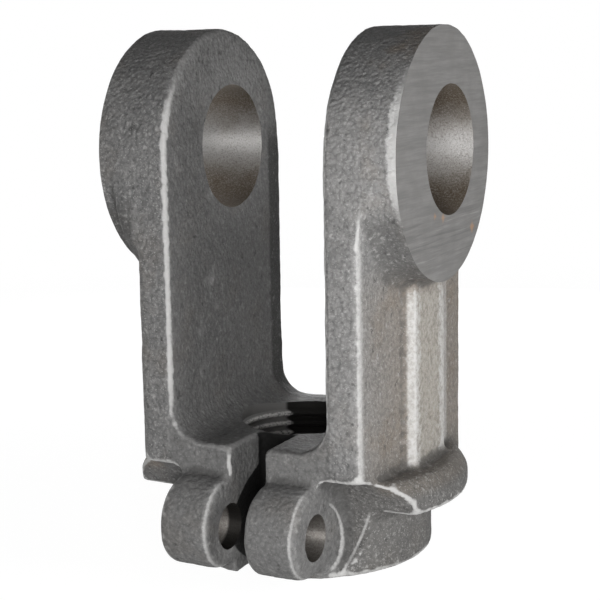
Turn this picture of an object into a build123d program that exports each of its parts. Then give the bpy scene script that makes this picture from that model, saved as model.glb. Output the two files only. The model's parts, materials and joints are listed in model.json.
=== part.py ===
from build123d import *
import os

# Clamp clevis for a one inch pin, cast in one piece, in millimetres.
# X runs along the pin, the slit and the clamp ears face -Y, +Z points from the rod to the pin.
# The origin is where the axis of the threaded bore leaves the flat bottom.
# The casting is drawn about its own middle plane and moved onto the bores at the end.

# Fork and eyes
FORK_GAP = 33.8          # between the inner faces of the arms
EYE_THICKNESS = 15.1     # inner face to machined pad, one arm
EYE_RADIUS = 25.0        # the arms are as deep as the eyes are wide
PIN_BORE = 25.8          # runs on a one inch pin
PIN_HEIGHT = 83.7        # pin axis above the bottom
EYE_DROP = 0.7           # the eye's own centre lies this far below the pin axis
BORE_SHIFT = 2.9         # both bores were machined this far behind the casting's middle

# Arms, as thicknesses outward from the fork's inner faces
WEB_FRONT = 7.3
WEB_CROWN = 9.3
WEB_BACK = 9.0
WEB_ROUND = 1.6          # cast edges of the arms' outer faces
NECK_FILLET = 4.8
FORK_FILLET = 6.5
FORK_BREAK = 0.6         # broken edge all round the fork gap, front and back
FLARE_LENGTH = 5.5       # the gap widens over this length before the back face
FLARE_DEPTH = 0.5

# Raised rib below each eye
RIB_HEIGHT = 1.8
RIB_WIDTH = 16.0
RIB_CENTRE = 2.0         # behind the casting's middle, like the crown of the arm
RIB_BOTTOM = 21.0

# Socket and flange
FLOOR_HEIGHT = 26.6      # fork floor above the bottom
SOCKET_RADIUS = 26.1
SOCKET_SHIFT = 2.0       # the socket's outside lies this far behind the casting's middle
SOCKET_BREAK = 0.6       # broken edge round the bottom
FLANGE_RADIUS = 34.5
FLANGE_BOTTOM = 13.4
FLANGE_RIM = 3.8         # height of the upright rim
FLANGE_BEVEL_IN = 2.2
FLANGE_BEVEL_UP = 3.3
FLANGE_BREAK = 0.6       # broken edges of the flange
FLANGE_GUSSET = 2.0      # sloped corner between the socket and the flange's underside

# Clamp
SLIT_WIDTH = 7.8
EAR_SPAN = 30.0          # outer face to outer face
EAR_RADIUS = 9.0
EAR_REACH = 26.2         # centre of the ears' round in front of the casting's middle
EAR_HEIGHT = 11.2
EAR_ROUND = 2.0          # outer cast edge of an ear
LIP_BREAK = 0.9          # broken edge of an ear along the slit
BOLT_HOLE = 9.3
BOLT_REACH = 25.5
BOLT_HEIGHT = 10.4
POCKET_RADIUS = 11.1     # room for the bolt's head and nut
POCKET_REACH = 24.6
POCKET_FILLET = 2.0

# Rod thread, 1 1/8 inch
THREAD_DIAMETER = 28.6

# How far one shape runs into the next, or a cutter past the metal
OVERLAP = 1.0
TINY = 0.01

half_gap = FORK_GAP / 2
half_depth = EYE_RADIUS
half_width = half_gap + EYE_THICKNESS
half_span = EAR_SPAN / 2
eye_height = PIN_HEIGHT - EYE_DROP
top_height = eye_height + EYE_RADIUS
flange_top = FLANGE_BOTTOM + FLANGE_RIM + FLANGE_BEVEL_UP


def turned(points):
    """A solid turned about the Z axis from its half outline."""
    return revolve(Plane.XZ * make_face(Polyline(*points, close=True)), Axis.Z, 360)


def along_x(radius, start, end, y, z):
    """A cylinder along X between two places."""
    return Pos((start + end) / 2, y, z) * Rot(0, 90, 0) * Cylinder(radius, abs(end - start))


def arm_section():
    """Level section of both arms and what lies between them: thin at the edges, thickest at the crown."""
    right = [
        (half_gap + WEB_FRONT, -half_depth),
        (half_gap + WEB_CROWN, RIB_CENTRE),
        (half_gap + WEB_BACK, half_depth),
    ]
    left = [(-x, y) for x, y in reversed(right)]
    section = make_face(Polyline(*right, *left, close=True))
    corners = section.vertices().group_by(Axis.Y)
    return fillet(corners[0] + corners[-1], WEB_ROUND)


def rib(side):
    """Raised rib on one arm, with sloped flanks."""
    face_x = half_gap + WEB_CROWN
    outer = face_x + RIB_HEIGHT
    near = RIB_CENTRE - RIB_WIDTH / 2
    far = RIB_CENTRE + RIB_WIDTH / 2
    points = [
        (half_gap - OVERLAP, near - RIB_HEIGHT),
        (face_x - RIB_HEIGHT, near - RIB_HEIGHT),
        (outer, near),
        (outer, far),
        (face_x - RIB_HEIGHT, far + RIB_HEIGHT),
        (half_gap - OVERLAP, far + RIB_HEIGHT),
    ]
    section = make_face(Polyline(*[(side * x, y) for x, y in points], close=True))
    return extrude(Pos(0, 0, RIB_BOTTOM) * section, eye_height - RIB_BOTTOM, dir=(0, 0, 1))


def eyes():
    """Both eyes in one length, turned about their axis, each with a concave blend to the arm's outer face."""
    web_x = half_gap + WEB_FRONT
    skirt = EYE_RADIUS + NECK_FILLET
    outline = Line((-half_width, EYE_RADIUS), (-web_x - NECK_FILLET, EYE_RADIUS))
    outline += RadiusArc(outline @ 1, (-web_x, skirt), NECK_FILLET)
    outline += Line((-web_x, skirt), (web_x, skirt))
    outline += RadiusArc((web_x, skirt), (web_x + NECK_FILLET, EYE_RADIUS), -NECK_FILLET)
    outline += Line((web_x + NECK_FILLET, EYE_RADIUS), (half_width, EYE_RADIUS))
    outline += Polyline((half_width, EYE_RADIUS), (half_width, 0), (-half_width, 0), (-half_width, EYE_RADIUS))
    below = (Align.CENTER, Align.CENTER, Align.MAX)
    lower_half = Box(4 * half_width, 2 * half_depth, 4 * EYE_RADIUS, align=below)
    low = revolve(make_face(outline), Axis.X, 360) & lower_half
    return Pos(0, 0, eye_height) * (low + along_x(EYE_RADIUS, -half_width, half_width, 0, 0))


def slot_section(widening):
    """Outline of the space between the arms, seen from the front."""
    bottom = FLOOR_HEIGHT - widening
    height = top_height + EYE_RADIUS - bottom
    outline = Pos(0, bottom + height / 2) * Rectangle(FORK_GAP + 2 * widening, height)
    return fillet(outline.vertices().sort_by(Axis.Y)[:2], FORK_FILLET)


def flare():
    """The widening of the fork gap towards its back face."""
    start = Plane.XZ.offset(FLARE_LENGTH - half_depth) * slot_section(0)
    end = Plane.XZ.offset(-FLARE_LENGTH - half_depth) * slot_section(2 * FLARE_DEPTH)
    return loft([end, start])


def on_gap_rim(edge):
    """Whether an edge runs round the front or the back of the fork gap."""
    at = edge.center()
    side = abs(abs(at.X) - half_gap) < TINY
    face = abs(abs(at.Y) - half_depth) < TINY
    low = abs(at.X) < half_gap and FLOOR_HEIGHT - TINY < at.Z < FLOOR_HEIGHT + FORK_FILLET
    over_eye = side and edge.geom_type == GeomType.CIRCLE
    return over_eye or (face and (side or low))


def fork():
    """Both arms with their eyes and ribs, and the block between them."""
    body = extrude(Pos(0, 0, FLANGE_BOTTOM) * arm_section(), eye_height - FLANGE_BOTTOM, dir=(0, 0, 1))
    body += eyes()
    for side in (1, -1):
        body += rib(side)
    body -= extrude(Plane.XZ * slot_section(0), half_depth + OVERLAP, both=True)
    body = chamfer(body.edges().filter_by(on_gap_rim), FORK_BREAK)
    return body - flare()


def socket():
    """Round socket that the rod screws into, and the flange that spreads from it to the arms."""
    wall = turned([
        (0, 0),
        (SOCKET_RADIUS, 0),
        (SOCKET_RADIUS, FLANGE_BOTTOM + OVERLAP),
        (0, FLANGE_BOTTOM + OVERLAP),
    ])
    wall = chamfer(wall.edges().group_by(Axis.Z)[0], SOCKET_BREAK)
    gusset = turned([
        (0, FLANGE_BOTTOM - FLANGE_GUSSET),
        (SOCKET_RADIUS, FLANGE_BOTTOM - FLANGE_GUSSET),
        (SOCKET_RADIUS + FLANGE_GUSSET, FLANGE_BOTTOM),
        (SOCKET_RADIUS + FLANGE_GUSSET, FLANGE_BOTTOM + OVERLAP),
        (0, FLANGE_BOTTOM + OVERLAP),
    ])
    flange = turned([
        (0, FLANGE_BOTTOM),
        (FLANGE_RADIUS, FLANGE_BOTTOM),
        (FLANGE_RADIUS, FLANGE_BOTTOM + FLANGE_RIM),
        (FLANGE_RADIUS - FLANGE_BEVEL_IN, flange_top),
        (0, flange_top),
    ])
    flange = chamfer(flange.edges().filter_by(GeomType.CIRCLE), FLANGE_BREAK)
    flange += Pos(0, SOCKET_SHIFT, 0) * gusset
    between_faces = Box(4 * FLANGE_RADIUS, 2 * half_depth, 2 * FLOOR_HEIGHT)
    return Pos(0, SOCKET_SHIFT, 0) * wall + (flange & between_faces)


def ear(side):
    """One clamp ear beside the slit."""
    profile = Pos(-EAR_REACH, EAR_HEIGHT) * Circle(EAR_RADIUS)
    profile += Pos(-EAR_REACH / 2, EAR_HEIGHT) * Rectangle(EAR_REACH, 2 * EAR_RADIUS)
    solid = extrude(Plane.YZ.offset(SLIT_WIDTH / 2) * profile, half_span - SLIT_WIDTH / 2)
    for where, finish, size in ((0, chamfer, LIP_BREAK), (-1, fillet, EAR_ROUND)):
        ends = solid.faces().filter_by(Axis.X).sort_by(Axis.X)
        rim = ends[where].edges().filter_by(lambda e: e.center().Y < -OVERLAP)
        solid = finish(rim, size)
    return solid if side > 0 else mirror(solid, Plane.YZ)


def pocket(side):
    """Round clearance beside an ear for the clamp bolt's head or nut."""
    cutter = along_x(POCKET_RADIUS, side * half_span, side * 2 * FLANGE_RADIUS, -POCKET_REACH, BOLT_HEIGHT)
    ends = cutter.edges().filter_by(GeomType.CIRCLE).sort_by(lambda e: abs(e.center().X))
    return fillet(ends[:1], POCKET_FILLET)


def slit():
    """The saw cut from the threaded bore out between the ears."""
    length = EAR_REACH + EAR_RADIUS + BORE_SHIFT + OVERLAP
    height = 2 * (FLOOR_HEIGHT + FORK_FILLET)
    forward = (Align.CENTER, Align.MAX, Align.CENTER)
    return Pos(0, BORE_SHIFT, 0) * Box(SLIT_WIDTH, length, height, align=forward)


def bores():
    """The machined holes for the pin, the clamp bolt and the rod."""
    pin = along_x(PIN_BORE / 2, -half_width - OVERLAP, half_width + OVERLAP, BORE_SHIFT, PIN_HEIGHT)
    bolt = along_x(BOLT_HOLE / 2, -half_width, half_width, -BOLT_REACH, BOLT_HEIGHT)
    rod_length = FLOOR_HEIGHT + FORK_FILLET + OVERLAP
    upward = (Align.CENTER, Align.CENTER, Align.MIN)
    rod = Pos(0, BORE_SHIFT, -OVERLAP) * Cylinder(THREAD_DIAMETER / 2, rod_length, align=upward)
    return [pin, bolt, rod]


def clevis_body():
    """The whole casting, moved so that the bores lie over the origin."""
    body = fork() + socket() + ear(1) + ear(-1)
    for cutter in [pocket(1), pocket(-1), slit()] + bores():
        body -= cutter
    return Pos(0, -BORE_SHIFT, 0) * body


os.makedirs("parts", exist_ok=True)
body = clevis_body()
body.label = "clevis_body"
export_step(body, "parts/clevis_body.step")
print("clevis_body", round(body.volume, 1), "mm3", body.bounding_box())
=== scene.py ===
# %% [markdown]
# # A cast clamp clevis
# The real clevis is poured as one rough steel casting. After that a few places are machined: the two
# eye pads, the bore for the cross pin, the threaded bore for the rod and the hole for the clamp bolt.
# This lesson follows the same order: first the rough casting, then the cuts, then the finishes.

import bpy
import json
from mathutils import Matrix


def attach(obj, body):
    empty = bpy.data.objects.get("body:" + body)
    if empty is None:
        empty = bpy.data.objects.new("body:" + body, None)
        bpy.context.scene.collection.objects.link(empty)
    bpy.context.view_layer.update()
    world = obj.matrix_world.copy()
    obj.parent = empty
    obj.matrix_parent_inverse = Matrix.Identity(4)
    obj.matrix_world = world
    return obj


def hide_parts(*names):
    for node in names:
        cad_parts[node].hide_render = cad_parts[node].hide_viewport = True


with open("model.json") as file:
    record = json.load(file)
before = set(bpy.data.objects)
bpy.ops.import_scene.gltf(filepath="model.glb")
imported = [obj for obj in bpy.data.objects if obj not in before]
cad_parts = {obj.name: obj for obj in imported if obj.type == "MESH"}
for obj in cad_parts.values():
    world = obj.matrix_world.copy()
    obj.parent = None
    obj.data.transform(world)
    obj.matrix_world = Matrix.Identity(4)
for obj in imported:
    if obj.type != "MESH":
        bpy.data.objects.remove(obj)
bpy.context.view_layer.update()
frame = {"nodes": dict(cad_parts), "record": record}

import json
import math

import bmesh
import bpy
from mathutils import Matrix, Vector, noise

MM = 0.001

# %% Sizes that the part's own record states
mounts = {m["name"]: m for m in frame["record"]["mounts"]}
PIN_Z = mounts["pin_bore"]["pos_m"][2]
PIN_RADIUS = mounts["pin_bore"]["dims"]["r_mm"] * MM
PAD_X = mounts["pin_bore"]["dims"]["length_mm"] * MM / 2
ROD_RADIUS = mounts["rod_thread"]["dims"]["r_mm"] * MM
FLOOR_Z = mounts["rod_thread"]["dims"]["length_mm"] * MM
BOLT_Y, BOLT_Z = mounts["clamp_bolt"]["pos_m"][1:]
BOLT_RADIUS = mounts["clamp_bolt"]["dims"]["r_mm"] * MM
EAR_X = mounts["clamp_bolt"]["dims"]["length_mm"] * MM / 2
print("pin bore", PIN_RADIUS / MM, "rod bore", ROD_RADIUS / MM, "bolt hole", BOLT_RADIUS / MM)

# %% Sizes of the part that its record leaves out
GAP_X = 16.9 * MM
SLIT_X = 3.9 * MM
EYE_RADIUS = 25 * MM
EYE_Y = -2.9 * MM
EYE_Z = PIN_Z - 0.7 * MM
print("fork gap", 2 * GAP_X / MM, "slit", 2 * SLIT_X / MM, "eye", EYE_RADIUS / MM)

# %% [markdown]
# ## Round stock and cutters
# A bore is cut with a cylinder, and the same cylinder, cut short, can fill a bore again. One helper
# makes both. It turns the cylinder that Blender makes along Z onto the axis that is wanted.

# %% A cylinder between two places on an axis
AROUND = {"X": Matrix.Rotation(math.pi / 2, 4, "Y"), "Z": Matrix.Identity(4)}


def add_cylinder(bm, radius, start, end, centre, axis, segments=160):
    """Adds a closed cylinder that runs from start to end along the axis, about the centre."""
    middle = Vector(centre)
    middle["XYZ".index(axis)] = (start + end) / 2
    bmesh.ops.create_cone(
        bm, cap_ends=True, segments=segments, radius1=radius, radius2=radius,
        depth=abs(end - start), matrix=Matrix.Translation(middle) @ AROUND[axis],
    )


def add_block(bm, low, high):
    """Adds a closed block between two corners."""
    size = Vector(high) - Vector(low)
    place = Matrix.Translation((Vector(high) + Vector(low)) / 2) @ Matrix.Diagonal((*size, 1))
    bmesh.ops.create_cube(bm, size=1, matrix=place)


def as_object(bm, name):
    """Turns a bmesh into an object at the origin."""
    mesh = bpy.data.meshes.new(name)
    bm.to_mesh(mesh)
    bm.free()
    thing = bpy.data.objects.new(name, mesh)
    bpy.context.scene.collection.objects.link(thing)
    return thing


# %% [markdown]
# ## The raw casting
# A foundry leaves extra metal wherever a cutter will go later. Here that is done by filling the bores of
# a copy of the CAD solid and laying a disc of stock on each pad. A voxel remesh melts all of it into one
# skin of even small faces, which is just what a sand mould gives: no edge is sharp and no face is quite
# flat. The voxels have to be small, because the finest rounding on the casting is about half a millimetre.

# %% Fill the bores and add stock on the pads
VOXEL = 0.58 * MM
STOCK = 1.5 * MM
SINK = 0.4 * MM
STOCK_ROOT = 4 * SINK
MERGE = 1e-6

casting_bm = bmesh.new()
casting_bm.from_mesh(frame["nodes"]["clevis_body"].data)
bmesh.ops.remove_doubles(casting_bm, verts=casting_bm.verts, dist=MERGE)
pin, eye, bolt, rod = (0, 0, PIN_Z), (0, EYE_Y, EYE_Z), (0, BOLT_Y, BOLT_Z), (0, 0, 0)
for side in (1, -1):
    add_cylinder(casting_bm, PIN_RADIUS + SINK, side * GAP_X, side * (PAD_X - SINK), pin, "X")
    add_cylinder(casting_bm, EYE_RADIUS, side * (PAD_X - STOCK_ROOT), side * (PAD_X + STOCK), eye, "X")
    add_cylinder(casting_bm, BOLT_RADIUS + SINK, side * SLIT_X, side * EAR_X, bolt, "X", 64)
add_cylinder(casting_bm, ROD_RADIUS + SINK, 0, FLOOR_Z, rod, "Z")
casting = as_object(casting_bm, "raw_casting")
print("casting with its stock:", len(casting.data.polygons), "faces")


# %% Melt it into one skin
def finished_mesh(thing):
    """The mesh of an object after its modifiers."""
    seen = thing.evaluated_get(bpy.context.evaluated_depsgraph_get())
    return bpy.data.meshes.new_from_object(seen)


melt = casting.modifiers.new("melt", "REMESH")
melt.mode = "VOXEL"
melt.voxel_size = VOXEL
skin_bm = bmesh.new()
skin_bm.from_mesh(finished_mesh(casting))
bpy.data.objects.remove(casting)
print("skin faces:", len(skin_bm.faces))

# %% [markdown]
# ## Sand texture
# A few rounds of smoothing take away the steps of the voxels and round every cast edge by about half a
# millimetre. Then the skin is moved in and out along its normals by two layers of noise: slow swells a
# few millimetres long, and a finer grain. The grain that is finer than the faces is left to the material.

# %% Smooth, then roughen
SMOOTH_ROUNDS = 3
SWELL_SIZE, SWELL_DEPTH = 6.0 * MM, 0.14 * MM
GRAIN_SIZE, GRAIN_DEPTH = 1.5 * MM, 0.075 * MM
GRAIN_SHIFT = Vector((7, 3, 5))

for _ in range(SMOOTH_ROUNDS):
    bmesh.ops.smooth_vert(
        skin_bm, verts=skin_bm.verts, factor=0.5, use_axis_x=True, use_axis_y=True, use_axis_z=True
    )
skin_bm.normal_update()

moves = []
for v in skin_bm.verts:
    swell = noise.noise(v.co / SWELL_SIZE)
    grain = noise.noise(v.co / GRAIN_SIZE + GRAIN_SHIFT)
    moves.append(v.normal * (swell * SWELL_DEPTH + grain * GRAIN_DEPTH))
for v, move in zip(skin_bm.verts, moves):
    v.co += move
raw = as_object(skin_bm, "casting")
print("deepest move in mm:", round(max(move.length for move in moves) / MM, 3))

# %% [markdown]
# ## Machining
# Boolean cuts give crisp edges where steel was really cut. The pads are faced with two blocks, and one
# thin block faces the bottom. The bores are cut with the exact radii of the record.

# %% Face the pads and the bottom
REACH = 60 * MM
BEYOND = 5 * MM
FACING_DEPTH = 35 * MM


def cut(thing, cutter_bm, name):
    """Cuts a cutter out of an object and returns the finished object."""
    cutter = as_object(cutter_bm, "cutter")
    step = thing.modifiers.new(name, "BOOLEAN")
    step.operation = "DIFFERENCE"
    step.solver = "MANIFOLD"
    step.object = cutter
    mesh = finished_mesh(thing)
    bpy.data.objects.remove(cutter)
    thing.modifiers.clear()
    thing.data = mesh
    print(name, "leaves", len(mesh.polygons), "faces")
    return thing


facing = bmesh.new()
for side in (1, -1):
    near, far = sorted((side * PAD_X, side * (PAD_X + REACH)))
    add_block(facing, (near, -REACH, PIN_Z - FACING_DEPTH), (far, REACH, PIN_Z + REACH))
add_block(facing, (-REACH, -REACH, -BEYOND), (REACH, REACH, 0))
raw = cut(raw, facing, "facing")

# %% Cut the bores
boring = bmesh.new()
add_cylinder(boring, PIN_RADIUS, -REACH, REACH, pin, "X", 192)
add_cylinder(boring, BOLT_RADIUS, -REACH, REACH, bolt, "X", 96)
add_cylinder(boring, ROD_RADIUS, -BEYOND, FLOOR_Z + 2 * BEYOND, rod, "Z", 192)
body = cut(raw, boring, "boring")
body.name = "clevis_casting"

# %% [markdown]
# ## Sorting the faces
# The finishes differ sharply between sand skin and cut steel, so every face gets the material of the
# process that made it. A cut face is known by where it lies: on a pad's plane, or at a bore's radius from
# the bore's axis. The edges between two materials are marked sharp, so that the cuts stay crisp.

# %% Which process made a face
SKIN, PAD, BORE, TAPPED = range(4)
NEAR = 0.03 * MM
SHARP = math.radians(50)

shape = bmesh.new()
shape.from_mesh(body.data)
bmesh.ops.remove_doubles(shape, verts=shape.verts, dist=MERGE)


def from_axis(point, centre, axis):
    """The distance of a point from an axis through a centre."""
    off = point - Vector(centre)
    off["XYZ".index(axis)] = 0
    return off.length


def process_of(face):
    """Pad, bore, tapped bore or sand skin."""
    ring = [v.co for v in face.verts]
    if all(abs(abs(p.x) - PAD_X) < NEAR for p in ring):
        return PAD
    if all(abs(from_axis(p, pin, "X") - PIN_RADIUS) < NEAR for p in ring):
        return BORE
    if all(abs(from_axis(p, bolt, "X") - BOLT_RADIUS) < NEAR for p in ring):
        return BORE
    if all(abs(from_axis(p, rod, "Z") - ROD_RADIUS) < NEAR for p in ring):
        return TAPPED
    return SKIN


for face in shape.faces:
    face.material_index = process_of(face)
    face.smooth = True
for edge in shape.edges:
    kinds = {face.material_index for face in edge.link_faces}
    folded = len(edge.link_faces) == 2 and edge.calc_face_angle() > SHARP
    edge.smooth = not (len(kinds) > 1 or folded)
print("faces by process:", [sum(f.material_index == k for f in shape.faces) for k in range(4)])

# %% [markdown]
# ## Worn edges and shaded corners
# Handling and tumbling polish the corners that stick out, and the corners that go in are given painted
# shade. Both
# are read from the shape itself: the point is set against the mean of the points around it. Where it
# stands proud of them, the number is above one half, and in a corner it is below. The number is kept on
# the mesh as an attribute, which the materials read. Beside a cut it stays at one half, because a cut edge
# was made after the casting had been tumbled.

# %% Measure how far each point stands out
EDGE_ROUNDS = 3
EDGE_FULL = 0.12 * MM
OWN_SHARE = 0.4


def neighbours(v):
    """The points that an edge joins to this one."""
    return [edge.other_vert(v) for edge in v.link_edges]


def stands_out(bm):
    """For each point, how far it stands out of its surroundings: 0 in a corner, 1 on an edge."""
    links = [[other.index for other in neighbours(v)] for v in bm.verts]
    flow = [v.co.copy() for v in bm.verts]
    for _ in range(EDGE_ROUNDS):
        flow = [sum((flow[i] for i in near), Vector()) / len(near) for near in links]
    out = [(v.co - mean).dot(v.normal) / EDGE_FULL for v, mean in zip(bm.verts, flow)]
    around = [sum(out[i] for i in near) / len(near) for near in links]
    out = [OWN_SHARE * own + (1 - OWN_SHARE) * mean for own, mean in zip(out, around)]
    return [min(1, max(0, 0.5 + o / 2)) for o in out]


shape.verts.index_update()
shape.normal_update()
edge_layer = shape.verts.layers.float.new("edge")
for v, value in zip(shape.verts, stands_out(shape)):
    v[edge_layer] = value
print("points on edges:", sum(v[edge_layer] > 0.9 for v in shape.verts))

# %% Leave the cut edges out
beside_cut = {v for face in shape.faces if face.material_index != SKIN for v in face.verts}
for _ in range(2):
    beside_cut |= {other for v in beside_cut for other in neighbours(v)}
for v in beside_cut:
    v[edge_layer] = 0.5
print("points beside a cut:", len(beside_cut))

# %% [markdown]
# ## The rod thread
# The bore in the CAD solid is cut at the roots of the thread. The ridges are a 60 degree tooth, swept
# round the axis while it climbs one pitch per turn. The slit breaks each turn, so each is swept on its own
# from one slit wall to the other, and its two ends are closed.

# %% Sweep one tooth per turn
PITCH = 25.4 * MM / 12
TOOTH = 0.95 * MM
CREST = 0.28 * MM
ROOT = 0.06 * MM
HALF_TOOTH = 0.46 * PITCH
PAST_WALL = 0.05 * MM
FIRST_TURN = 0.8
STEPS = 84


def add_turn(bm, low):
    """Adds one turn of the thread's ridge, starting at a height."""
    gap = math.asin((SLIT_X - PAST_WALL) / (ROD_RADIUS - TOOTH))
    start = gap - math.pi / 2
    along = Vector((math.cos(start), math.sin(start), 0))
    outline = [(ROOT, -HALF_TOOTH), (-TOOTH, -CREST / 2), (-TOOTH, CREST / 2), (ROOT, HALF_TOOTH)]
    points = [bm.verts.new(along * (ROD_RADIUS + out) + Vector((0, 0, low + up))) for out, up in outline]
    bmesh.ops.spin(
        bm, geom=[bm.faces.new(points)], cent=(0, 0, 0), axis=(0, 0, 1), dvec=(0, 0, PITCH / STEPS),
        angle=2 * math.pi - 2 * gap, steps=STEPS, use_duplicate=False,
    )


thread = bmesh.new()
for turn in range(int(FLOOR_Z / PITCH) - 1):
    add_turn(thread, (turn + FIRST_TURN) * PITCH)
bmesh.ops.recalc_face_normals(thread, faces=thread.faces)
for face in thread.faces:
    face.material_index = TAPPED
    face.smooth = False
ridges = as_object(thread, "thread_ridges")
low, high = (round(f(v.co.z for v in ridges.data.vertices) / MM, 2) for f in (min, max))
print("thread ridges run from", low, "to", high, "mm in", len(ridges.data.polygons), "faces")

# %% Join the ridges to the casting
shape.from_mesh(ridges.data)
bpy.data.objects.remove(ridges)
mesh = bpy.data.meshes.new("clevis_casting")
shape.to_mesh(mesh)
shape.free()
body.data = mesh
triangles = sum(len(p.vertices) - 2 for p in mesh.polygons)
print("the casting has", triangles, "triangles")
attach(body, "root")
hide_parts("clevis_body")

# %% [markdown]
# ## Writing shaders as sums
# A node tree reads badly as a list of links. The class below wraps a socket, so that a mask can be
# written as an expression, and each operator adds its Math node. Every other node is made by one method.

# %% A socket that takes part in sums
class Wire:
    """A node's output that can be added, taken away and multiplied."""

    def __init__(self, paint, socket):
        self.paint = paint
        self.socket = socket

    def with_math(self, operation, first, second):
        return self.paint.node("ShaderNodeMath", {"operation": operation}, {0: first, 1: second})

    def __add__(self, other):
        return self.with_math("ADD", self, other)

    def __radd__(self, other):
        return self.with_math("ADD", other, self)

    def __sub__(self, other):
        return self.with_math("SUBTRACT", self, other)

    def __rsub__(self, other):
        return self.with_math("SUBTRACT", other, self)

    def __mul__(self, other):
        return self.with_math("MULTIPLY", self, other)

    def __rmul__(self, other):
        return self.with_math("MULTIPLY", other, self)


def union(shares):
    """A share that is high wherever any of several shares is."""
    left = 1
    for share in shares:
        left = left * (1 - share)
    return 1 - left


# %% A tree of nodes under construction
class Paint:
    """Adds nodes to one tree, that of a material or of the world."""

    def __init__(self, owner):
        self.owner = owner
        owner.use_nodes = True
        self.tree = owner.node_tree
        self.tree.nodes.clear()

    def node(self, kind, settings, inputs, output=0):
        """Adds a node: its settings first, then the values or links of its sockets."""
        made = self.tree.nodes.new(kind)
        for key, value in settings.items():
            setattr(made, key, value)
        for key, value in inputs.items():
            if isinstance(value, Wire):
                self.tree.links.new(value.socket, made.inputs[key])
            else:
                made.inputs[key].default_value = value
        return None if output is None else Wire(self, made.outputs[output])

    def place(self):
        return self.node("ShaderNodeTexCoord", {}, {}, "Object")

    def spot(self):
        """Where a point of the object lies, as three numbers in millimetres."""
        sockets = {0: self.place(), "Scale": 1 / MM}
        place = self.node("ShaderNodeVectorMath", {"operation": "SCALE"}, sockets)
        return [self.node("ShaderNodeSeparateXYZ", {}, {0: place}, axis) for axis in "XYZ"]

    def size_of(self, value):
        """A number without its sign."""
        return self.node("ShaderNodeMath", {"operation": "ABSOLUTE"}, {0: value})

    def off_axis(self, one, other):
        """The distance from an axis, from the distances along two directions."""
        return self.node("ShaderNodeMath", {"operation": "SQRT"}, {0: one * one + other * other})

    def noise(self, size, detail, roughness, stretch=(1, 1, 1), shift=(0, 0, 0)):
        """Noise whose spots are about so large, in metres, between 0 and 1."""
        sockets = {"Vector": self.place(), "Location": shift, "Scale": stretch}
        where = self.node("ShaderNodeMapping", {}, sockets)
        sockets = {"Vector": where, "Scale": 1 / size, "Detail": detail, "Roughness": roughness}
        return self.node("ShaderNodeTexNoise", {}, sockets)

    def cells(self, size):
        """Distance to the nearest of many scattered points, which lie about so far apart."""
        sockets = {"Vector": self.place(), "Scale": 1 / size, "Smoothness": 0.4}
        return self.node("ShaderNodeTexVoronoi", {"feature": "SMOOTH_F1"}, sockets)

    def between(self, value, low, high):
        """Turns a value into a share, 0 at low and 1 at high, with soft ends."""
        sockets = {"Value": value, "From Min": low, "From Max": high}
        return self.node("ShaderNodeMapRange", {"interpolation_type": "SMOOTHSTEP"}, sockets)

    def span(self, value, start, full, fading, end):
        """A share that is 0 up to start, 1 from full to fading and 0 again from end on."""
        return self.between(value, start, full) * self.between(value, end, fading)

    def line_at(self, value, place, reach, core=0.10):
        """A share that is 1 where a value is within core of a place, and 0 farther off than reach."""
        return self.between(self.size_of(value - place), reach, core)

    def blend(self, share, first, second):
        """Mixes two colours."""
        settings = {"data_type": "RGBA", "clamp_factor": True}
        return self.node("ShaderNodeMix", settings, {0: share, 6: first, 7: second}, 2)

    def coats(self, tone, layers):
        """Lays coats over a tone, one after the other, each a share and a colour."""
        for share, colour in layers:
            tone = self.blend(share, tone, colour)
        return tone

    def finish(self, relief, depth, strength, **sockets):
        """Ends the material in one Principled shader with a bump of so many metres."""
        named = {key.replace("_", " "): value for key, value in sockets.items()}
        bump = {"Height": relief, "Distance": depth, "Strength": strength}
        named["Normal"] = self.node("ShaderNodeBump", {}, bump)
        surface = self.node("ShaderNodeBsdfPrincipled", {}, named)
        self.node("ShaderNodeOutputMaterial", {}, {"Surface": surface}, None)
        print(self.owner.name, "has", len(self.tree.nodes), "nodes")
        return self.owner


def grey(value, warm=0.0):
    """A grey with a little more red and less blue."""
    return (value * (1 + warm), value, value * (1 - 1.4 * warm), 1)


# %% [markdown]
# ## Places on the casting
# The sand skin isn't of one tone. The masks below say where a part of the casting begins and ends, in
# millimetres from the rod's axis and from the bottom, as on a drawing. A soft step is given by the two
# places between which it rises, and a span by four. Some of these tones are dirt and wear, and some are
# the light and shade that the photo shows in a place: the insides of the arms are darker than the
# outsides, and the outer side of the right arm is lighter.

# %% Parts of the arms
RIB_Y = -0.9
BESIDE_RIB = (20.8, 22.4, 54, 58)
EYE_MIDDLE = 86


def arm_parts(paint, x, y, z):
    """The arms' inner faces, their back edge for a painted shadow, the outer webs and the necks below the
    eyes for painted shade.
    """
    wide = paint.size_of(x)
    inside = paint.between(wide, 18.2, 17.4)
    back = inside * paint.between(y, 15.0, 16.5) * paint.between(z, 90, 82)
    web = paint.between(wide, 23, 26) * paint.span(z, 16.5, 19, 56, 66)
    neck_shade = paint.between(wide, 24.4, 25.6) * paint.span(z, 56, 60, 70, 77)
    return inside, back, web, neck_shade


def rib_parts(paint, x, y, z, crust):
    """The whole rib, and its flanks, worn steel with a painted highlight, with their ragged edge towards the
    flat crown.
    """
    off = paint.size_of(y - RIB_Y) + paint.between(y, 0, 2) * 1.3
    rib = paint.between(paint.size_of(x), 26.2, 26.9) * paint.span(z, *BESIDE_RIB)
    rib = rib * paint.between(off, 11, 9.6)
    flank_wear_and_sheen = rib * paint.between(off + (crust - 0.5) * 6, 4.9, 7.4)
    return rib, flank_wear_and_sheen


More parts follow.
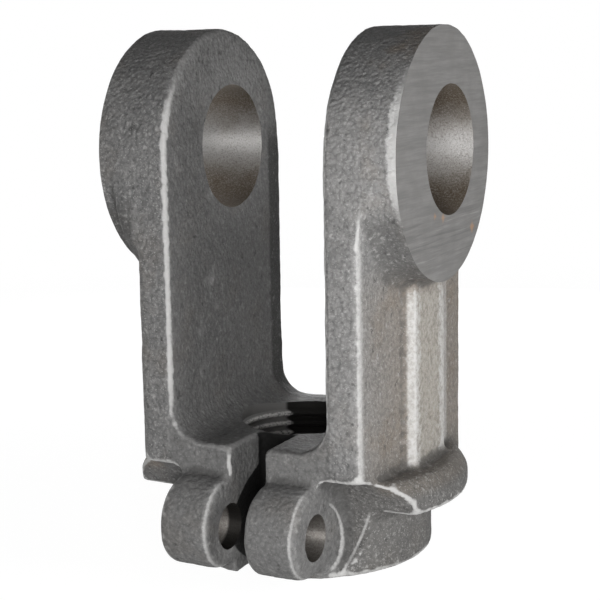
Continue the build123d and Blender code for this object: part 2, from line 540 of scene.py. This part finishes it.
def eye_rim_highlight(paint, x, z, crust):
    """A painted highlight on the rim of the right eye beside its pad, widest at the height of the bore."""
    middle = paint.line_at(z, EYE_MIDDLE, 17, 5)
    return middle * paint.between(x + middle * 1.1 + (crust - 0.5) * 2, 30.9, 31.8)


print("the rib is masked from", BESIDE_RIB[0], "to", BESIDE_RIB[-1], "mm above the bottom")

# %% [markdown]
# ## Painted edge highlights
# A few cast edges carry thin ragged lines of painted highlight, partly wear as well. Each is a narrow band
# round a plane, a slope or a circle, kept to the stretch where the photo shows it, and the crust's noise
# frays it.

# %% Thin painted highlights along cast edges
SEAT_Y, SEAT_Z, SEAT_RADIUS = -24.6, 8.7, 7.1
LIP_X, LIP_SLOPE = 16.6, 0.36
RIGHT_EAR_X, LEFT_EAR_X = 13.95, -4.55
CORNER_X, CORNER_SWING = 24.0, 1.2


def edge_highlights(paint, x, y, z, crust):
    """How far a point belongs to one of the thin painted highlights along cast edges, which are partly wear.
    """
    wide = paint.size_of(x)
    fray = (crust - 0.5) * 0.6

    gap_edge = paint.span(wide, 16.94, 17.10, 17.20, 17.60) * paint.span(z, 32, 36, 92, 99)
    gap_edge = gap_edge * paint.between(y, 0, -8)

    corner = paint.line_at(x - paint.between(z, 66, 80) * CORNER_SWING + fray * 0.6, CORNER_X, 0.44)
    corner = corner * paint.between(y, -25, -26) * paint.span(z, 19.5, 21, 70, 78)

    rib_foot = paint.between(wide, 25.3, 25.8) * paint.span(y, 11.2, 11.7, 12.7, 13.5)
    rib_foot = rib_foot * paint.span(z, *BESIDE_RIB)

    seat = paint.line_at(paint.off_axis(y - SEAT_Y, z - SEAT_Z) + fray, SEAT_RADIUS, 0.48)
    seat = seat * paint.between(y, -22.6, -21.4) * paint.span(wide, 14.3, 14.8, 16.0, 16.4)

    lip = paint.line_at(wide - z * LIP_SLOPE + fray, LIP_X, 0.45)
    lip = lip * paint.between(z, 13.5, 11.5) * paint.span(y, -22.5, -21, -15, -14)

    ears = paint.line_at(x + fray, RIGHT_EAR_X, 0.42, 0.05) + paint.line_at(x + fray, LEFT_EAR_X, 0.42, 0.05)
    ears = ears * paint.between(y, -28.5, -30) * paint.between(z, 20.5, 19)

    return union((gap_edge * 0.9, corner * 0.9, rib_foot * 0.6, seat * 0.85, lip * 0.8, ears * 0.75))


print("ring beside the right bolt hole:", SEAT_RADIUS, "mm about y", SEAT_Y, "z", SEAT_Z)

# %% [markdown]
# ## Rubbed edges and the painted shadow in the slit
# The edge attribute shows every corner that stands out. In the photo only some of them are rubbed, so the
# wear is taken back on the tops of the eyes, on the outside of the left arm, at the fork floor and on the
# ears. Deep in the slit a black shadow is painted. It comes nearest to the front at the height of the bolt
# hole, and above and below that it begins farther in.

# %% Wear, and the painted shadow in the slit
SLIT_SHADOW_Y, SLIT_SHADOW_Z, SLIT_SHADOW_CURVE = -28.2, 9.5, 0.11


def rubbed_edges(paint, x, z, edge, crust):
    """How far a corner that stands out is rubbed bright."""
    wide = paint.size_of(x)
    wear = paint.between(edge + (crust - 0.5) * 0.08, 0.82, 1.01)
    spared = (
        paint.between(z, 90, 98) * 0.9,
        paint.between(x, -20, -22) * paint.between(z, 25, 30) * 0.9,
        paint.between(z, 24.4, 25.2) * paint.between(wide, 16, 15) * 0.75,
        paint.span(x, -7, -6, -3, 0) * paint.between(z, 21, 19) * 0.85,
        paint.span(x, 0, 3, 14.6, 15) * 0.8,
    )
    return wear * (1 - union(spared))


def slit_shadow(paint, x, y, z):
    """A black painted shadow deep in the slit, between its walls and in front of the rod bore."""
    height = z - SLIT_SHADOW_Z
    deep = paint.between(y - SLIT_SHADOW_Y - height * height * SLIT_SHADOW_CURVE, -0.5, 0.6)
    deep = paint.between(union((deep, paint.between(y, -16.3, -15.5))), 0, 1)
    film = deep * paint.between(paint.size_of(x), 4.7, 4.2)
    return film * paint.between(z, 26.5, 26.2) * paint.between(y, -9, -10)


# The painted shadow in the slit begins at these places.
print("film in the slit from y", SLIT_SHADOW_Y, "mm at the height", SLIT_SHADOW_Z, "mm")

# %% [markdown]
# ## Sand skin
# The skin of a sand casting is dark grey, pebbled at about a millimetre and peppered with bright specks
# where the scale has broken away. Rounded cells give the pebbles, a rough noise gives the crust between
# them, and a fine noise gives the specks. A thin brown film lies on it in patches, most of all on the
# webs. It is scale and not clean metal, so it isn't metallic and has hardly any gloss.

# %% The skin's material
SCALE_DARK, SCALE_LIGHT = grey(0.155, 0.005), grey(0.190, 0.012)
WEB_BROWN, FILM_BROWN = (0.232, 0.202, 0.172, 1), (0.165, 0.128, 0.093, 1)
RIB_STEEL, BARE_STEEL = (0.36, 0.34, 0.305, 1), grey(0.50, 0.01)


def sand_skin():
    paint = Paint(bpy.data.materials.new("sand_skin"))
    edge = paint.node("ShaderNodeAttribute", {"attribute_name": "edge"}, {}, "Fac")
    x, y, z = paint.spot()
    sand = 1 - paint.cells(0.8 * MM)
    crust = paint.noise(1.1 * MM, 4.0, 0.7)
    grain = paint.noise(0.32 * MM, 1.0, 0.5)
    dents = paint.noise(2.0 * MM, 2.0, 0.5, shift=(0.6, 0.3, 0.8))
    patches = paint.noise(9 * MM, 3.0, 0.6, shift=(0.03, 0.01, 0.02))
    film = paint.noise(14 * MM, 4.0, 0.65, shift=(0.2, 0.1, 0.4))

    inside, back, web, neck_shade = arm_parts(paint, x, y, z)
    rib, flank_wear_and_sheen = rib_parts(paint, x, y, z, crust)
    rim_highlight = eye_rim_highlight(paint, x, z, crust)
    lines = edge_highlights(paint, x, y, z, crust)
    wear = rubbed_edges(paint, x, z, edge, crust)
    # Painted shade in the corners that go in.
    corner_shade = paint.between(0.5 - edge + (crust - 0.5) * 0.1, 0.10, 0.40)
    flange = paint.between(x, 15.3, 17) * paint.between(z, 25, 20)
    right_arm_light = paint.between(x, 8, 26) * paint.span(z, 20, 32, 88, 98)
    right_eye = paint.between(x, 17, 24) * paint.between(z, 60, 70)
    left = paint.between(x, 0, -20)
    sparkle = paint.between(crust + grain * 0.3, 0.55, 0.80)
    stained = paint.between(film, 0.50, 0.68) * (0.2 + web * 0.4 + right_eye * 0.35)

    broad = [
        (web * 0.75, WEB_BROWN),
        (stained, FILM_BROWN),
        (flange * 0.55, grey(0.095, 0.05)),
        # Painted light: the right arm is made lighter outside its web.
        (right_arm_light * (1 - web) * 0.5, grey(0.30, 0.015)),
        # Painted shade in the necks below the eyes, a little more on the left.
        (neck_shade * (0.7 + left * 0.15), grey(0.080, 0.02)),
        (rib * paint.between(crust, 0.25, 0.60), RIB_STEEL),
        # Painted shade: the arms' inner faces are made darker, and lighter near their top.
        (inside * 0.45, grey(0.130, 0.01)),
        (inside * paint.between(z, 86, 102) * 0.6, grey(0.24, 0.01)),
        # Painted shadow along the back edge of the arms' inner faces.
        (back * 0.85, grey(0.035, 0.02)),
    ]
    specks = [
        (paint.between(crust, 0.50, 0.28) * (0.5 - rib * 0.25 - web * 0.15), grey(0.065, 0.01)),
        (paint.between(sand, 0.50, 0.28) * (0.30 - rib * 0.15), grey(0.075, 0.01)),
        (paint.between(dents, 0.66, 0.74) * (0.6 - inside * 0.3), grey(0.34, 0.015)),
        (paint.between(dents, 0.34, 0.27) * (0.6 - rib * 0.3), grey(0.050, 0.02)),
        (paint.between(crust + sand * 0.2, 0.64, 0.86) * (0.6 - inside * 0.3), grey(0.36, 0.015)),
        (paint.between(grain, 0.60, 0.72) * (0.5 - inside * 0.3 - neck_shade * 0.25), grey(0.42, 0.015)),
    ]
    edges = [
        (corner_shade * 0.6, grey(0.06, 0.02)),
        (wear * 0.8, BARE_STEEL),
        # Painted highlights along cast edges, partly wear.
        (lines * (0.62 + sparkle * 0.25), grey(0.48, 0.01)),
        # The rib's flanks: worn steel with a painted highlight.
        (flank_wear_and_sheen * (0.45 + sparkle * 0.45), BARE_STEEL),
        # Painted highlight on the rim of the right eye.
        (rim_highlight * 0.85, grey(0.52, 0.01)),
        # Painted black shadow deep in the slit.
        (slit_shadow(paint, x, y, z) * 0.96, grey(0.006, 0.02)),
    ]
    tone = paint.blend(paint.between(patches, 0.3, 0.7), SCALE_DARK, SCALE_LIGHT)
    tone = paint.coats(tone, broad + specks + edges)
    relief = (sand * 0.35 + crust * 0.65) * (1 - web * 0.5 - inside * 0.4)
    rough = 0.62 - wear * 0.2 - rib * 0.1 + (grain - 0.5) * 0.12
    return paint.finish(
        relief, 0.65 * MM, 1.0, Base_Color=tone, Metallic=0.0, Roughness=rough, Specular_IOR_Level=0.05
    )


skin_finish = sand_skin()

# %% [markdown]
# ## Faced pads
# Facing leaves fine tool marks. They are noise stretched far along one direction, with deeper scores
# below the bore. Three small spots of rust lie on the pads, given by their place and size.

# %% The pads' material
SCORED_Z = (73, 70.5)
RUST_SPOTS = ((-4.2, 70.6, 1.3), (-8.5, 71.4, 0.9), (12.2, 67.0, 1.7))
RUST = (0.34, 0.19, 0.09, 1)


def faced_pad():
    paint = Paint(bpy.data.materials.new("faced_pad"))
    lines = paint.noise(0.9 * MM, 3.0, 0.7, stretch=(1, 0.06, 1))
    scores = paint.noise(0.7 * MM, 2.0, 0.6, stretch=(1, 0.03, 1), shift=(0.2, 0.4, 0.1))
    fine = paint.noise(0.5 * MM, 2.0, 0.5)
    patches = paint.noise(7 * MM, 3.0, 0.6, shift=(0.5, 0.2, 0.1))
    x, y, z = paint.spot()
    below = paint.between(z, *SCORED_Z)
    layers = [
        (paint.between(patches, 0.35, 0.7) * 0.4, grey(0.118, 0.03)),
        (below * paint.between(scores, 0.60, 0.72) * 0.7, grey(0.29, 0.02)),
        (below * paint.between(scores, 0.44, 0.34) * 0.5, grey(0.085, 0.02)),
    ]
    for spot_y, spot_z, size in RUST_SPOTS:
        off = paint.size_of(y - spot_y) + paint.size_of(z - spot_z) + (fine - 0.5) * 2
        layers.append((paint.between(off, size, 0.3 * size) * 0.6, RUST))
    tone = paint.blend(paint.between(lines, 0.3, 0.7), grey(0.126, 0.02), grey(0.180, 0.02))
    tone = paint.coats(tone, layers)
    relief = lines * 0.5 + fine * 0.3 + scores * below * 0.5
    rough = 0.45 + patches * 0.12
    return paint.finish(
        relief, 0.12 * MM, 0.6, Base_Color=tone, Metallic=0.2, Roughness=rough, Specular_IOR_Level=0.2
    )


pad_finish = faced_pad()

# %% [markdown]
# ## Bored walls
# The bore is given a painted highlight in a band at the height of the axis, and above and below that a
# painted brown shade. Boring leaves rings round the wall, and the shader's anisotropy stretches the gloss
# across them. The near side of the left bolt hole carries the same black painted shadow as the slit.

# %% The bores' material
BORE_SHADE, BORE_DARK = (0.108, 0.086, 0.064, 1), (0.060, 0.050, 0.040, 1)
BOLT_HOLE_SHADOW = (0.012, 0.011, 0.010, 1)


def bored_wall():
    paint = Paint(bpy.data.materials.new("bored_wall"))
    fine = paint.noise(0.34 * MM, 3.0, 0.7)
    patches = paint.noise(5 * MM, 3.0, 0.6, shift=(0.5, 0.2, 0.1))
    x, y, z = paint.spot()
    bolt_hole = paint.between(z, 30, 20)
    # Painted highlight in a band at the axis height, and painted brown shade above and below it.
    painted_light_band = paint.between(paint.size_of(z - PIN_Z / MM) + (patches - 0.5) * 5, 10, 0)
    painted_light_band = painted_light_band * (1 - bolt_hole) + bolt_hole * 0.5
    # Painted black shadow on the near side of the left bolt hole.
    film = bolt_hole * paint.between(x, 0, -2) * paint.between(x, -7.3, -6.5)
    tone = paint.blend(painted_light_band, BORE_SHADE, grey(0.30, 0.02))
    tone = paint.coats(tone, [
        (paint.between(fine, 0.45, 0.75) * 0.5, grey(0.34, 0.02)),
        (paint.between(fine, 0.52, 0.25) * 0.6, BORE_DARK),
        (film * 0.93, BOLT_HOLE_SHADOW),
    ])
    return paint.finish(
        fine, 0.15 * MM, 0.6, Base_Color=tone, Metallic=0.85, Roughness=0.42 + fine * 0.12,
        Specular_IOR_Level=0.2, Anisotropic=0.8,
    )


bore_finish = bored_wall()

# %% [markdown]
# ## Cut thread
# The thread is painted black as shadow, except on one side that is painted as lit, where the crests carry a
# painted highlight. The distance from the rod's axis tells a crest from a root.

# %% The thread's material
# Painted shadow, painted light on one side, and a painted highlight on the crests.
THREAD_SHADOW, THREAD_LIT, CREST_HIGHLIGHT = grey(0.012, 0.05), grey(0.16, 0.02), grey(0.52, 0.02)


def tapped_wall():
    paint = Paint(bpy.data.materials.new("tapped_wall"))
    fine = paint.noise(0.6 * MM, 2.0, 0.6)
    x, y, z = paint.spot()
    flank_out, flank_in = ((ROD_RADIUS - share * TOOTH) / MM for share in (0.35, 0.8))
    crest = paint.between(paint.off_axis(x, y), flank_out, flank_in)
    # The side that is painted as lit.
    lit_side = paint.between(y, 10.2, 9.4) * paint.between(x, -8, -9)
    tone = paint.blend(lit_side, THREAD_SHADOW, THREAD_LIT)
    tone = paint.blend(lit_side * crest * paint.between(fine, 0.3, 0.6), tone, CREST_HIGHLIGHT)
    return paint.finish(
        fine, 0.12 * MM, 0.6, Base_Color=tone, Metallic=0.3, Roughness=0.5, Specular_IOR_Level=0.1
    )


thread_finish = tapped_wall()

# %% Give the faces their finishes
for finish in (skin_finish, pad_finish, bore_finish, thread_finish):
    body.data.materials.append(finish)
print("finishes:", [m.name for m in body.data.materials])

# %% [markdown]
# ## Floor, background and light
# The clevis stands on a white sweep that fades into a white background. White is a matter of colour
# here, not of lamps: what looks straight at the world, or sees it mirrored, gets plain white, and the light
# that falls on the object from all round is much weaker. The floor is mostly its own white, and the rest
# is a surface that takes the shadow.

# %% The white surroundings
AMBIENT = 0.05


def looked_at(paint):
    """1 for a ray that looks straight at a surface, or sees it mirrored or through glass, and else 0."""
    kinds = ("Is Camera Ray", "Is Glossy Ray", "Is Transmission Ray")
    straight, mirrored, through = (paint.node("ShaderNodeLightPath", {}, {}, kind) for kind in kinds)
    return paint.node("ShaderNodeClamp", {}, {"Value": straight + mirrored + through})


world = bpy.data.worlds.new("studio")
bpy.context.scene.world = world
air = Paint(world)
level = AMBIENT + looked_at(air) * (1 - AMBIENT)
sky = air.node("ShaderNodeBackground", {}, {"Color": (1, 1, 1, 1), "Strength": level})
air.node("ShaderNodeOutputWorld", {}, {"Surface": sky}, None)
print("light from all round:", AMBIENT)

# %% The floor
NEAR_SHARE = 0.86
NEAR_STRENGTH = 1.11
FADE = (0.15, 0.45)
MATT_WHITE = (0.92, 0.92, 0.92, 1)

floor_bm = bmesh.new()
bmesh.ops.create_grid(floor_bm, x_segments=1, y_segments=1, size=1.5)
floor = as_object(floor_bm, "floor")
sweep = Paint(bpy.data.materials.new("white_sweep"))
away = sweep.node("ShaderNodeVectorMath", {"operation": "LENGTH"}, {0: sweep.place()}, "Value")
fade = sweep.between(away, *FADE)
strength = NEAR_STRENGTH - fade * (NEAR_STRENGTH - 1)
share = looked_at(sweep) * (NEAR_SHARE + fade * (1 - NEAR_SHARE))
matt = sweep.node("ShaderNodeBsdfDiffuse", {}, {"Color": MATT_WHITE})
white = sweep.node("ShaderNodeEmission", {}, {"Color": (1, 1, 1, 1), "Strength": strength})
mixed = sweep.node("ShaderNodeMixShader", {}, {0: share, 1: matt, 2: white})
sweep.node("ShaderNodeOutputMaterial", {}, {"Surface": mixed}, None)
floor.data.materials.append(sweep.owner)
print("floor fades to white from", FADE[0], "to", FADE[1], "m")

# %% [markdown]
# ## Lamps
# Four square lamps stand round the clevis, and the front one is the strongest. The back and left ones are
# about level with the fork floor, so that they hardly light it. They keep those sides readable too.


# %% Set up the lamps
def add_lamp(name, azimuth, elevation, distance, size, level, aim=(0, 0, 0.055)):
    """A square lamp that gives a facing surface at the aim a level of light.

    The lamp is placed by its direction from the aim: azimuth 0 is the front, 90 the right side. At level 1
    a facing surface shows its own colour.
    """
    data = bpy.data.lights.new(name, "AREA")
    data.size = size
    data.energy = level * math.pi ** 2 * distance ** 2
    lamp = bpy.data.objects.new(name, data)
    turn, lift = math.radians(azimuth), math.radians(elevation)
    away = Vector((math.sin(turn) * math.cos(lift), -math.cos(turn) * math.cos(lift), math.sin(lift)))
    lamp.location = Vector(aim) + away * distance
    lamp.rotation_euler = away.to_track_quat("Z", "Y").to_euler()
    bpy.context.scene.collection.objects.link(lamp)


LAMPS = (
    ("front", 26, -1, 0.27, 0.10, 0.86),
    ("side", 84, 4, 0.22, 0.10, 0.46),
    ("back", 200, -4, 0.34, 0.14, 0.70),
    ("left", 262, -4, 0.34, 0.14, 0.38),
)
for lamp in LAMPS:
    add_lamp(*lamp)
print("lamps:", [lamp[0] for lamp in LAMPS])

# %% [markdown]
# ## The camera
# The photograph's perspective was worked out from the outlines of the bores, the eyes and the arms. The
# camera stands 27 degrees to the right of the front and looks down by nine and a half degrees.

# %% Set up the camera
VIEW_AZIMUTH = math.radians(26.59)
VIEW_ELEVATION = math.radians(9.50)
VIEW_ROLL = math.radians(-0.96)
VIEW_DISTANCE = 318.88 * MM
VIEW_AIM = Vector((-1.74 * MM, 0, 51.64 * MM))
FOCAL_PIXELS = 1517.22
IMAGE_PIXELS = 600
SENSOR = 36

back = Vector((
    math.sin(VIEW_AZIMUTH) * math.cos(VIEW_ELEVATION),
    -math.cos(VIEW_AZIMUTH) * math.cos(VIEW_ELEVATION),
    math.sin(VIEW_ELEVATION),
))
right = Vector((math.cos(VIEW_AZIMUTH), math.sin(VIEW_AZIMUTH), 0))
up = back.cross(right)
right, up = (
    right * math.cos(VIEW_ROLL) + up * math.sin(VIEW_ROLL),
    up * math.cos(VIEW_ROLL) - right * math.sin(VIEW_ROLL),
)
camera_data = bpy.data.cameras.new("camera")
camera_data.sensor_width = SENSOR
camera_data.lens = FOCAL_PIXELS / IMAGE_PIXELS * SENSOR
camera_data.clip_start = 0.01
camera = bpy.data.objects.new("camera", camera_data)
turned = Matrix((right, up, back)).transposed().to_4x4()
camera.matrix_world = Matrix.Translation(VIEW_AIM + back * VIEW_DISTANCE) @ turned
bpy.context.scene.collection.objects.link(camera)
bpy.context.scene.camera = camera
bpy.context.scene.view_settings.view_transform = "Standard"
print("camera at", [round(v / MM, 1) for v in camera.location], "lens", round(camera_data.lens, 2))
